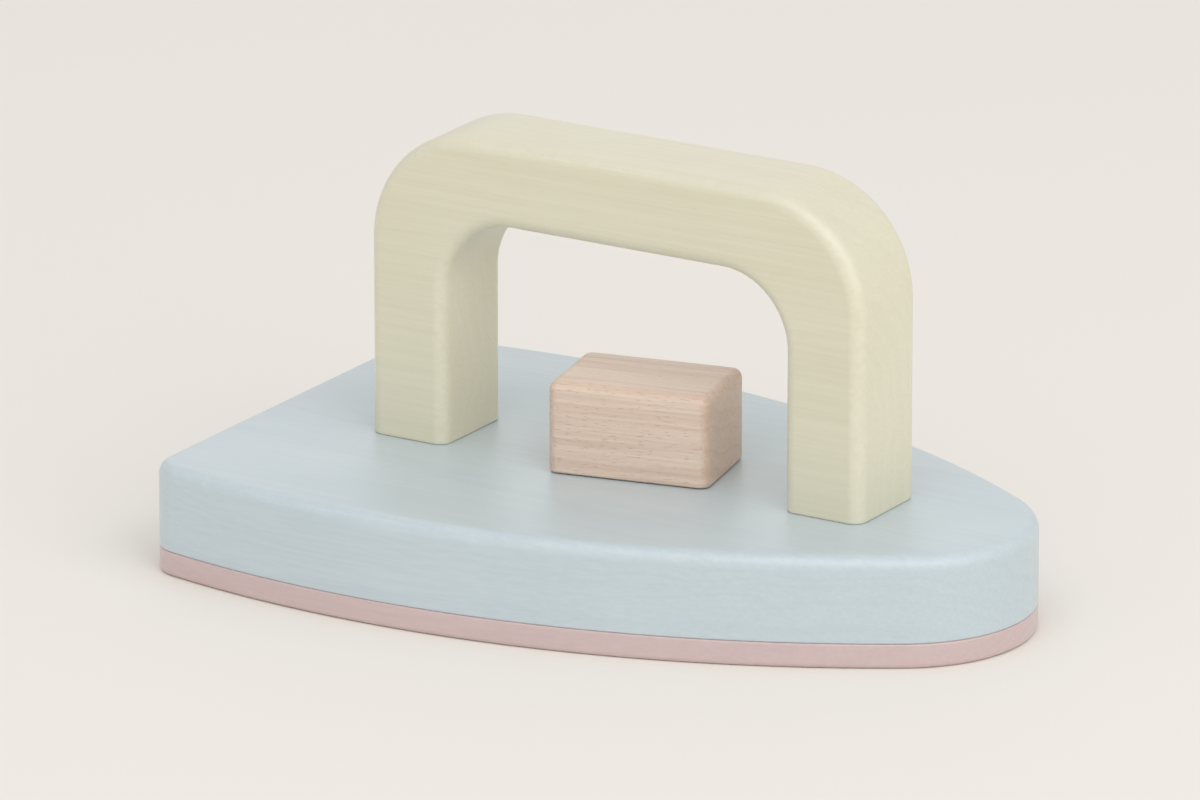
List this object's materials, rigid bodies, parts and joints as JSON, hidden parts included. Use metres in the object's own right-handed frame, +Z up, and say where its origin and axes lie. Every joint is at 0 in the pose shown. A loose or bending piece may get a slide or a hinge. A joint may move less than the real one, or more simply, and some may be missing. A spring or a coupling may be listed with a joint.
{
  "type": "toy iron",
  "caption": "Wooden pretend-play iron: a lacquered body block with rounded nose and flat heel on a thin sole plate, under an arched handle with a turning block knob.",
  "frame": {"origin": "middle of the bounding box, on the underside of the sole plate", "axes": "+X from the heel to the nose, +Z up from the sole to the handle, +Y to the left seen from behind the heel"},
  "size_m": [0.15, 0.097, 0.077],
  "materials": {
    "body_lacquer": "satin pale blue lacquer on wood",
    "sole_lacquer": "satin dusty pink lacquer on wood",
    "handle_lacquer": "satin pale yellow lacquer on wood",
    "bare_wood": "bare fine-grained wood, oiled",
    "screw_steel": "zinc-plated steel",
    "felt": "grey pressed felt"
  },
  "bodies": {
    "iron": {"body": "body_lacquer", "sole_plate": "sole_lacquer", "handle": "handle_lacquer", "rear_handle_screw": "screw_steel", "front_handle_screw": "screw_steel"},
    "knob": {"knob": "bare_wood", "knob_pin": "bare_wood", "knob_felt_washer": "felt", "knob_washer": "screw_steel", "knob_screw": "screw_steel"}
  },
  "joints": [
    {"name": "knob_turn", "type": "hinge", "parent": "iron", "child": "knob", "pos_m": [0, 0, 0.02], "axis": [0, 0, 1], "continuous": true}
  ]
}
